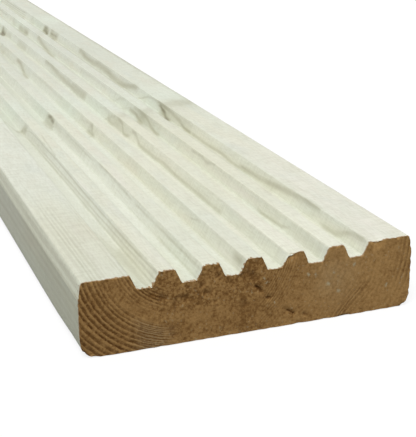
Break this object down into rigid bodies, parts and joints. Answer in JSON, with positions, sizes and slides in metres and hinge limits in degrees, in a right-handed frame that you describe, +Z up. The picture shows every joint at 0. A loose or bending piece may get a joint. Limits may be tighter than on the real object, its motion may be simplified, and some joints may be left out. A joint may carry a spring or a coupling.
{
  "type": "decking board",
  "caption": "Flat softwood decking board with rounded edges and straight trapezoidal grooves along its top face, to be screwed down on joists as a floor.",
  "frame": {"origin": "middle of the underside, which rests on the floor or on the joists", "axes": "+X across the board, +Y along its length and grain, +Z up out of the grooved face"},
  "size_m": [0.145, 2.4, 0.032],
  "materials": {
    "treated_softwood": "planed, pressure treated"
  },
  "bodies": {
    "root": {"decking_board": "treated_softwood"}
  },
  "joints": []
}
